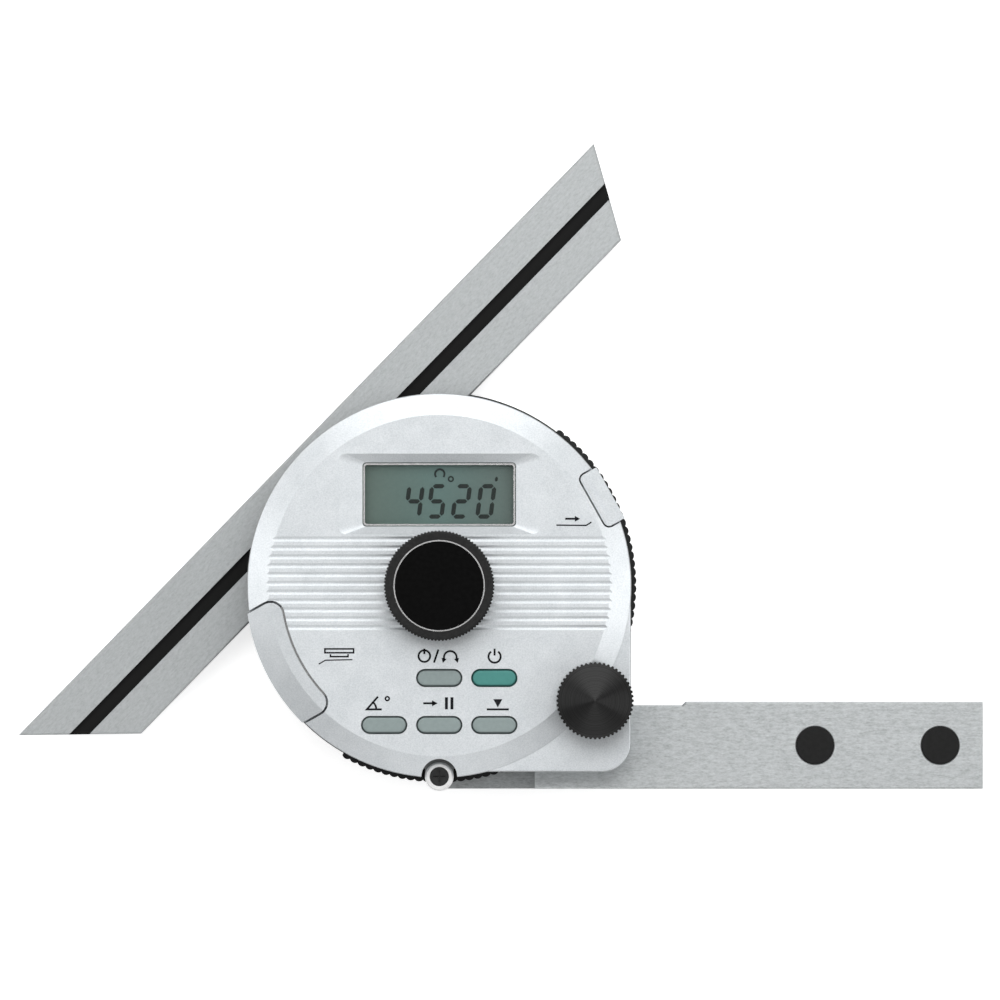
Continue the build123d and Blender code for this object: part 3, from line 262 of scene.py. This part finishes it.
def ground_steel(name, turn, tone=0.51, length=700, width=2600, contrast=0.8):
    """Steel ground along one direction: short fine streaks in colour and relief, clouds in gloss.

    Length and width are the streaks' grain per metre along and across the piece.
    """
    mat, tree, bsdf = new_material(name)
    streak = noise(tree, local_point(tree, turn, (length, width, width)), detail=3, roughness=0.6)
    speckle = noise(tree, local_point(tree, turn, SPECKLE_GRAIN), detail=2, roughness=0.6)
    cloud = noise(tree, local_point(tree, turn, CLOUD_GRAIN), detail=2)
    grain = mix(tree, "FLOAT", 0.45, streak, speckle)
    color = ramp(tree, grain, [
        (0.34, steel_grey(tone * (1 - 0.30 * contrast))),
        (0.50, steel_grey(tone)),
        (0.66, steel_grey(tone * (1 + 0.22 * contrast))),
    ])
    tree.links.new(color, bsdf.inputs["Base Color"])
    bsdf.inputs["Metallic"].default_value = 0.85
    bsdf.inputs["Specular IOR Level"].default_value = 0.15
    tree.links.new(span(tree, cloud, 0.44, 0.54), bsdf.inputs["Roughness"])
    bump(tree, bsdf, grain, 0.3, COARSE_RELIEF)
    return mat


def painted_groove(name):
    """Ground steel of the blade, with black paint where the point lies inside the groove."""
    mat = ground_steel(name, BLADE_ANGLE, tone=0.44, length=800, width=2200, contrast=0.5)
    tree = mat.node_tree
    bsdf = tree.nodes["Principled BSDF"]
    place = separate(tree, local_point(tree, BLADE_ANGLE))
    across = calculate(tree, "COMPARE", place["Y"], GROOVE_MIDDLE, GROOVE_WIDTH / 2 + GROOVE_EDGE)
    groove_level = BLADE_FRONT - GROOVE_DEPTH / 2 - GROOVE_EDGE
    deep = calculate(tree, "COMPARE", place["Z"], groove_level, GROOVE_DEPTH / 2)
    inside = calculate(tree, "MULTIPLY", across, deep)
    black_paint = (
        ("Base Color", "RGBA", (*grey(0.004), 1)),
        ("Roughness", "FLOAT", 0.6),
        ("Metallic", "FLOAT", 0.0),
    )
    for input_name, kind, painted in black_paint:
        socket = bsdf.inputs[input_name]
        bare = socket.links[0].from_socket if socket.is_linked else socket.default_value
        tree.links.new(mix(tree, kind, inside, bare, painted), socket)
    return mat


def silver_paint(name, tone=0.655, gloss=0.42):
    """Fine satin silver paint with metal flakes, with painted shade that darkens it over the rounded
    edges.
    """
    mat, tree, bsdf = new_material(name)
    point = local_point(tree)
    flakes = noise(tree, point, scale=4200, detail=2, roughness=0.6)
    cloud = noise(tree, point, scale=260, detail=3)
    color = ramp(tree, mix(tree, "FLOAT", 0.3, flakes, cloud), [
        (0.32, tinted(tone, 0.82, 0.87, 0.90)),
        (0.50, tinted(tone, 0.955, 1.0, 1.03)),
        (0.68, tinted(tone, 1.08, 1.12, 1.15)),
    ])
    # Painted shade: steep rounded edges are darkened, while upright walls and level faces keep the
    # full tone
    facing = separate(tree, add(tree, "ShaderNodeNewGeometry").outputs["Normal"])
    painted_edge_shade = ramp(tree, facing["Z"], [
        (0.04, grey(1.0)), (0.14, grey(0.38)), (0.62, grey(0.38)), (0.80, grey(1.0)),
    ])
    tree.links.new(mix(tree, "RGBA", 1.0, color, painted_edge_shade, "MULTIPLY"), bsdf.inputs["Base Color"])
    bsdf.inputs["Metallic"].default_value = 0.5
    tree.links.new(span(tree, flakes, gloss - 0.06, gloss + 0.08), bsdf.inputs["Roughness"])
    bsdf.inputs["Coat Weight"].default_value = 0.15
    bsdf.inputs["Coat Roughness"].default_value = 0.3
    bump(tree, bsdf, flakes, 0.12, FINE_RELIEF)
    return mat


def black_anodised(name, tone=0.007, rough=0.46):
    mat, tree, bsdf = new_material(name)
    dust = noise(tree, local_point(tree), scale=2600, detail=3, roughness=0.6)
    color = ramp(tree, dust, [(0.3, grey(tone * 0.5)), (0.7, grey(tone * 1.9))])
    tree.links.new(color, bsdf.inputs["Base Color"])
    bsdf.inputs["Metallic"].default_value = 0.2
    bsdf.inputs["Specular IOR Level"].default_value = 0.3
    tree.links.new(span(tree, dust, rough - 0.06, rough + 0.08), bsdf.inputs["Roughness"])
    bump(tree, bsdf, dust, 0.15, FINE_RELIEF)
    return mat


def turned_black(name, centre):
    """Black anodised face turned on a lathe: its gloss fans out from the centre."""
    mat, tree, bsdf = new_material(name)
    away = calculate_vector(tree, "SUBTRACT", local_point(tree), (centre.x, centre.y, 0))
    spoke = calculate_vector(tree, "MULTIPLY", away, (1, 1, 0))
    outward = add(tree, "ShaderNodeVectorTransform", vector_type="NORMAL",
                  convert_from="OBJECT", convert_to="WORLD")
    tree.links.new(spoke, outward.inputs["Vector"])
    tree.links.new(outward.outputs["Vector"], bsdf.inputs["Tangent"])
    # The face is finished as if it were crowned a little, so its gloss leans outward
    facing = add(tree, "ShaderNodeNewGeometry").outputs["Normal"]
    lean = calculate_vector(tree, "MULTIPLY_ADD", outward.outputs["Vector"], grey(CROWN), facing)
    crowned = calculate_vector(tree, "NORMALIZE", lean)
    # Turning marks: rings of uneven depth
    rings = add(tree, "ShaderNodeTexNoise", noise_dimensions="1D")
    rings.inputs["Scale"].default_value = TURNING_MARKS
    rings.inputs["Detail"].default_value = 2
    tree.links.new(calculate_vector(tree, "LENGTH", spoke, result="Value"), rings.inputs["W"])
    color = ramp(tree, rings.outputs["Fac"], [(0.3, grey(0.023)), (0.7, grey(0.044))])
    tree.links.new(color, bsdf.inputs["Base Color"])
    bsdf.inputs["Metallic"].default_value = 0.9
    bsdf.inputs["Specular IOR Level"].default_value = 0.2
    bsdf.inputs["Roughness"].default_value = 0.34
    bsdf.inputs["Anisotropic"].default_value = 0.95
    bump(tree, bsdf, rings.outputs["Fac"], 0.25, FINE_RELIEF, crowned)
    return mat


def bright_metal(name, tone=0.72, rough=0.22, metallic=1.0):
    mat, tree, bsdf = new_material(name)
    haze = noise(tree, local_point(tree), scale=1800, detail=3)
    color = ramp(tree, haze, [(0.3, grey(tone * 0.93)), (0.7, grey(tone))])
    tree.links.new(color, bsdf.inputs["Base Color"])
    bsdf.inputs["Metallic"].default_value = metallic
    tree.links.new(span(tree, haze, rough * 0.8, rough * 1.3), bsdf.inputs["Roughness"])
    return mat


def plain_gloss(name, color, rough=0.3, relief=0.05, metallic=0.0, variation=0.08, shine=0.5):
    mat, tree, bsdf = new_material(name)
    haze = noise(tree, local_point(tree), scale=1400, detail=3)
    low = tuple(c * (1 - variation) for c in color)
    high = tuple(c * (1 + variation) for c in color)
    tree.links.new(ramp(tree, haze, [(0.35, low), (0.65, high)]), bsdf.inputs["Base Color"])
    bsdf.inputs["Metallic"].default_value = metallic
    bsdf.inputs["Specular IOR Level"].default_value = shine
    tree.links.new(span(tree, haze, rough * 0.85, rough * 1.2), bsdf.inputs["Roughness"])
    bump(tree, bsdf, haze, relief, COARSE_RELIEF)
    return mat


def display_film(name):
    """Reflective film, green in the middle and greyer towards its left and right ends."""
    mat, tree, bsdf = new_material(name)
    point = local_point(tree)
    low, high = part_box("display_panel")
    across = span(tree, separate(tree, point)["X"], 0.0, 1.0, low.x, high.x)
    base = ramp(tree, across, [
        (0.0, (0.122, 0.166, 0.144)),
        (0.5, (0.130, 0.205, 0.190)),
        (1.0, (0.122, 0.158, 0.144)),
    ])
    dust = noise(tree, point, scale=1500, detail=3)
    shade = ramp(tree, dust, [(0.35, grey(0.95)), (0.65, grey(1.0))])
    tree.links.new(mix(tree, "RGBA", 1.0, base, shade, "MULTIPLY"), bsdf.inputs["Base Color"])
    bsdf.inputs["Roughness"].default_value = 0.6
    bsdf.inputs["Specular IOR Level"].default_value = 0.2
    return mat


def clear_plastic(name):
    mat, tree, bsdf = new_material(name)
    smear = noise(tree, local_point(tree), scale=220, detail=2)
    tree.links.new(span(tree, smear, 0.03, 0.07), bsdf.inputs["Roughness"])
    bsdf.inputs["Base Color"].default_value = (*grey(0.02), 1)
    bsdf.inputs["Alpha"].default_value = 0.05
    return mat


# Lights, floor and world

def area_light(name, place, size, power):
    """Rectangular light that faces the middle of the photograph."""
    data = bpy.data.lights.new(name, "AREA")
    data.shape = "RECTANGLE"
    data.size, data.size_y = size
    data.energy = power
    lamp = bpy.data.objects.new(name, data)
    lamp.location = place
    lamp.rotation_euler = (VIEW_MIDDLE - Vector(place)).to_track_quat("-Z", "Y").to_euler()
    bpy.context.scene.collection.objects.link(lamp)


def make_lights():
    for name, place, size, power in LIGHTS:
        area_light(name, place, size, power)


def make_world():
    world = bpy.data.worlds.new("studio")
    bpy.context.scene.world = world
    world.use_nodes = True
    background = world.node_tree.nodes["Background"]
    background.inputs["Color"].default_value = (*grey(1), 1)
    background.inputs["Strength"].default_value = WORLD_STRENGTH


def make_floor():
    mesh = bpy.data.meshes.new("floor")
    shape = bmesh.new()
    shape.faces.new([
        shape.verts.new((x * FLOOR_REACH, y * FLOOR_REACH, cad_low.z - FLOOR_GAP))
        for x, y in ((-1, -1), (1, -1), (1, 1), (-1, 1))
    ])
    shape.to_mesh(mesh)
    shape.free()
    floor = bpy.data.objects.new("floor", mesh)
    bpy.context.scene.collection.objects.link(floor)
    mat, tree, bsdf = new_material("floor_white")
    bsdf.inputs["Base Color"].default_value = (*grey(0.8), 1)
    bsdf.inputs["Roughness"].default_value = 0.9
    # The camera and reflections see a white floor that still takes the shadow
    ray = add(tree, "ShaderNodeLightPath").outputs
    seen = calculate(tree, "MAXIMUM", ray["Is Camera Ray"], ray["Is Glossy Ray"])
    seen = calculate(tree, "MAXIMUM", seen, ray["Is Transmission Ray"])
    bsdf.inputs["Emission Color"].default_value = (*grey(1), 1)
    tree.links.new(calculate(tree, "MULTIPLY", seen, FLOOR_LIFT), bsdf.inputs["Emission Strength"])
    # Its underside is clear, so the back of the object can be seen from below
    side = add(tree, "ShaderNodeNewGeometry")
    clear = add(tree, "ShaderNodeBsdfTransparent")
    mixed = add(tree, "ShaderNodeMixShader")
    tree.links.new(side.outputs["Backfacing"], mixed.inputs[0])
    tree.links.new(bsdf.outputs[0], mixed.inputs[1])
    tree.links.new(clear.outputs[0], mixed.inputs[2])
    tree.links.new(mixed.outputs[0], tree.nodes["Material Output"].inputs["Surface"])
    mesh.materials.append(mat)


# Flat shapes: printed signs and the digits of the display

def ribbon(points, width, closed=False):
    """Faces of a line of even width, one for each run between its points, with mitred corners."""
    count = len(points)
    sides = []
    for index, point in enumerate(points):
        before = points[(index - 1) % count] if closed or index else None
        after = points[(index + 1) % count] if closed or index < count - 1 else None
        runs = []
        if before is not None:
            runs.append((Vector(point) - Vector(before)).normalized())
        if after is not None:
            runs.append((Vector(after) - Vector(point)).normalized())
        along = sum(runs, Vector((0, 0))).normalized()
        normal = Vector((-along.y, along.x))
        squareness = abs(normal.dot(Vector((-runs[0].y, runs[0].x))))
        reach = width / 2 / max(BLUNTEST_MITRE, squareness)
        sides.append((Vector(point) + normal * reach, Vector(point) - normal * reach))
    following = sides[1:] + sides[:1] if closed else sides[1:]
    return [(one[0], one[1], two[1], two[0]) for one, two in zip(sides, following)]


def arc(center, radius, start, end, steps=24):
    """Points along an arc, with its angles in degrees."""
    points = []
    for step in range(steps + 1):
        angle = radians(start + (end - start) * step / steps)
        points.append((center[0] + radius * cos(angle), center[1] + radius * sin(angle)))
    return points


def circle_line(center, radius, width, steps=32):
    return ribbon(arc(center, radius, 0, 360 - 360 / steps, steps - 1), width, closed=True)


def arrow_head(tip, angle, size):
    """Filled triangle that points along an angle in degrees."""
    along = Vector((cos(radians(angle)), sin(radians(angle))))
    side = Vector((-along.y, along.x))
    tip = Vector(tip)
    foot = tip - along * size
    half = side * size * ARROW_SHARE
    return [(tip, foot + half, foot - half)]


def flat_piece(name, faces, place, level, thickness, mat, body):
    """Thin solid from flat faces in millimetres about a place, standing on a level."""
    shape = bmesh.new()
    for face in faces:
        points = [((x + place[0]) * MM, (y + place[1]) * MM) for x, y in face]
        area = sum(a[0] * b[1] - b[0] * a[1] for a, b in zip(points, points[1:] + points[:1]))
        if area < 0:
            points.reverse()
        lower = [shape.verts.new((x, y, level)) for x, y in points]
        upper = [shape.verts.new((x, y, level + thickness)) for x, y in points]
        shape.faces.new(upper)
        shape.faces.new(lower[::-1])
        for index in range(len(points)):
            after = (index + 1) % len(points)
            shape.faces.new((lower[index], lower[after], upper[after], upper[index]))
    mesh = bpy.data.meshes.new(name)
    shape.to_mesh(mesh)
    shape.free()
    mesh.materials.append(mat)
    piece = bpy.data.objects.new(name, mesh)
    bpy.context.scene.collection.objects.link(piece)
    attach(piece, body)
    return piece


# Seven segments of a digit, by their ends in half widths and half heights
SEGMENTS = {
    "top": ((-1, 1), (1, 1)), "middle": ((-1, 0), (1, 0)), "bottom": ((-1, -1), (1, -1)),
    "upper_left": ((-1, 1), (-1, 0)), "upper_right": ((1, 1), (1, 0)),
    "lower_left": ((-1, 0), (-1, -1)), "lower_right": ((1, 0), (1, -1)),
}
DIGITS = {
    "4": ("upper_left", "upper_right", "middle", "lower_right"),
    "5": ("top", "upper_left", "middle", "lower_right", "bottom"),
    "2": ("top", "upper_right", "middle", "lower_left", "bottom"),
    "0": ("top", "upper_left", "upper_right", "lower_left", "lower_right", "bottom"),
}


def bar(start, end, width, gap):
    """Bar with pointed ends, as on a liquid crystal display."""
    start, end = Vector(start), Vector(end)
    along = (end - start).normalized()
    side = Vector((-along.y, along.x)) * width / 2
    start, end = start + along * gap, end - along * gap
    nose = along * width / 2
    return (start, start + nose + side, end - nose + side, end, end - nose - side, start + nose - side)


def digit_faces(digit, middle):
    half_width, half_height = (size / 2 for size in DIGIT_SIZE)
    faces = []
    for name in DIGITS[digit]:
        ends = [(x * half_width, y * half_height) for x, y in SEGMENTS[name]]
        upright = bar(*ends, DIGIT_STROKE, DIGIT_GAP)
        faces.append([(middle[0] + x + y * DIGIT_SLANT, middle[1] + y) for x, y in upright])
    return faces


def make_display():
    ink = plain_gloss("display_ink", (0.026, 0.033, 0.031), rough=0.6, shine=0.1)
    faces = []
    for digit, middle in zip(SHOWN_ANGLE, DIGIT_MIDDLES):
        faces += digit_faces(digit, (middle, DIGIT_LEVEL))
    faces += circle_line(DEGREE_MARK, radius=0.42, width=0.28)
    faces.append(bar(*MINUTE_MARK, width=0.5, gap=0.0))
    faces += ribbon(arc(TURN_MARK, radius=0.85, start=-40, end=220), width=0.36)
    flat_piece("display_digits", faces, (0, 0), PANEL_LEVEL + DIGIT_OFFSET, DIGIT_THICKNESS,
               ink, "frame")


# Each sign is drawn in millimetres about its own middle

def zero_sign():
    """A round scale with its mark, and a bent arrow that points both ways."""
    return (circle_line((-2.6, 0), 1.05, SIGN_LINE)
            + ribbon([(-2.6, 0.35), (-2.6, 1.35)], SIGN_LINE)
            + ribbon([(-0.85, -1.2), (-0.05, 1.2)], SIGN_LINE)
            + ribbon(arc((2.1, -0.25), 1.15, -25, 205), SIGN_LINE)
            + arrow_head((3.45, -1.25), -75, 0.85)
            + arrow_head((0.75, -1.25), 255, 0.85))


def power_sign():
    """An open ring with a bar."""
    return (ribbon(arc((0, -0.1), 1.1, 125, 415), SIGN_LINE)
            + ribbon([(0, 0.1), (0, 1.35)], SIGN_LINE))


def unit_sign():
    """Two legs of an angle with an arc, and the mark of a degree."""
    return (ribbon([(1.2, -1.1), (-1.5, -1.1), (0.5, 1.2)], SIGN_LINE)
            + ribbon(arc((-1.5, -1.1), 1.7, 0, 49), SIGN_LINE)
            + circle_line((2.2, 0.85), 0.35, SIGN_LINE * 0.8))


def hold_sign():
    """An arrow that meets two bars."""
    return (ribbon([(-2.9, 0), (-0.9, 0)], SIGN_LINE)
            + arrow_head((-0.3, 0), 0, 1.0)
            + ribbon([(1.3, -1.1), (1.3, 1.1)], SIGN_LINE * 1.5)
            + ribbon([(2.3, -1.1), (2.3, 1.1)], SIGN_LINE * 1.5))


def preset_sign():
    """A pointer set on a line."""
    return (ribbon([(-2.0, -1.1), (2.0, -1.1)], SIGN_LINE)
            + arrow_head((0, -0.75), -90, 1.5))


def battery_sign():
    """A coin cell over its tray, with the way in."""
    cell = [(-2.6, 1.15), (2.6, 1.15), (2.6, 0.45), (-2.6, 0.45)]
    tray = [(-1.6, 0.2), (-1.6, -0.25), (1.6, -0.25), (1.6, 0.2)]
    way_in = [(-3.7, -1.6), (-2.5, -0.9), (2.4, -0.8)]
    return (ribbon(cell, SIGN_LINE * 0.8, closed=True)
            + ribbon(tray, SIGN_LINE * 0.8)
            + ribbon(way_in, SIGN_LINE * 0.6))


def data_sign():
    """An arrow outward over a line that bends towards the port."""
    return (ribbon([(-1.6, 0.6), (0.2, 0.6)], SIGN_LINE)
            + arrow_head((1.1, 0.6), 0, 0.95)
            + ribbon([(-3.2, -0.55), (2.2, -0.6), (3.15, 0.0)], SIGN_LINE * 0.7))


def make_signs():
    ink = plain_gloss("sign_ink", (0.010, 0.010, 0.012), rough=0.6, shine=0.1)
    signs = (
        ("sign_zero", (-0.1, UPPER_ROW), zero_sign()),
        ("sign_power", (10.02, UPPER_ROW), power_sign()),
        ("sign_unit", (-11.6, LOWER_ROW), unit_sign()),
        ("sign_hold", (0.0, LOWER_ROW), hold_sign()),
        ("sign_preset", (10.6, LOWER_ROW), preset_sign()),
        ("sign_battery", (-18.1, -12.6), battery_sign()),
        ("sign_data", (24.4, 11.5), data_sign()),
    )
    for name, place, faces in signs:
        flat_piece(name, faces, place, FACE_LEVEL + SIGN_OFFSET, SIGN_THICKNESS,
                   ink, "frame")


def make_window_pane():
    """Clear pane with rounded corners, a little above the display's panel."""
    low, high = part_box("display_window")
    left, right = low.x + PANE_CORNER, high.x - PANE_CORNER
    lower, upper = low.y + PANE_CORNER, high.y - PANE_CORNER
    corners = ((right, upper, 0), (left, upper, 90), (left, lower, 180), (right, lower, 270))
    outline = []
    for x, y, start in corners:
        outline += arc((x, y), PANE_CORNER, start, start + 90, steps=8)
    face = [(x / MM, y / MM) for x, y in outline]
    level = low.z + PANE_OFFSET
    pane = flat_piece("window_pane", [face], (0, 0), level, high.z - level,
                      clear_plastic("clear_pane"), "frame")
    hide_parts("display_window")


# Pieces

def paint(mat, *names):
    for name in names:
        mesh = nodes[name].data
        mesh.materials.clear()
        mesh.materials.append(mat)


def dress_steel():
    paint(ground_steel("steel_stock", 0.0), "stock")
    paint(ground_steel("steel_blade", BLADE_ANGLE), "blade_hook", "hook_nut", "clamp_stud")
    paint(painted_groove("steel_grooved"), "blade")


def dress_painted():
    paint(silver_paint("silver_paint"), "housing", "port_cover")
    # The drawer wears the housing's silver paint at a lower tone: painted shade for its slope, which
    # faces away from the lights
    paint(silver_paint("drawer_silver_painted_shade", tone=0.56, gloss=0.5), "battery_drawer")


def dress_black():
    paint(black_anodised("black_anodised"), "turret_base", "turret_ring", "clamp_knob")
    paint(turned_black("fine_black", FINE_CENTRE), "fine_knob")
    paint(plain_gloss("blued_screw", grey(0.03), rough=0.35, relief=0.1, metallic=0.6),
          "edge_boss_screw")
    paint(plain_gloss("black_screws", grey(0.015), rough=0.3, relief=0.1, metallic=0.6),
          "turret_screws", "corner_screw", "frame_screws", "housing_screws",
          "board_screws", "stock_plugs")
    paint(plain_gloss("black_plastic", grey(0.02), rough=0.5, relief=0.1),
          "thrust_washer", "data_socket", "friction_washer")
    paint(plain_gloss("gloss_black", grey(0.003), rough=0.06, relief=0.0, variation=0.2, shine=0.08),
          "knob_disc")


def dress_bright():
    paint(bright_metal("bright_ring", tone=0.85), "knob_ring", "display_bezel")
    paint(bright_metal("satin_nickel", tone=0.8, rough=0.45, metallic=0.7), "edge_boss")
    paint(bright_metal("plate_steel", tone=0.45, rough=0.35),
          "frame_plate", "rotor_nut", "fine_shaft", "battery_contacts")
    paint(bright_metal("bronze", tone=0.4, rough=0.4),
          "bearing_bush", "fine_bush", "fine_pinion", "drive_gear")
    paint(bright_metal("cell_can", tone=0.65, rough=0.2), "coin_cell", "encoder_disc")


def dress_electronics():
    paint(plain_gloss("board_green", (0.02, 0.10, 0.04), rough=0.4), "circuit_board")
    paint(plain_gloss("mat_rubber", grey(0.1), rough=0.6), "keypad_mat")
    paint(display_film("display_film"), "display_panel")
    paint(plain_gloss("grey_caps", (0.233, 0.281, 0.277), rough=0.45, variation=0.03, shine=0.3),
          "button_upper_middle", "button_lower_left", "button_lower_middle", "button_lower_right")
    paint(plain_gloss("green_cap", (0.059, 0.228, 0.204), rough=0.45, variation=0.03, shine=0.3),
          "button_upper_right")


make_camera()
make_lights()
make_world()
make_floor()
dress_steel()
dress_painted()
dress_black()
dress_bright()
dress_electronics()
make_display()
make_window_pane()
make_signs()

bpy.context.scene.view_settings.view_transform = "Standard"
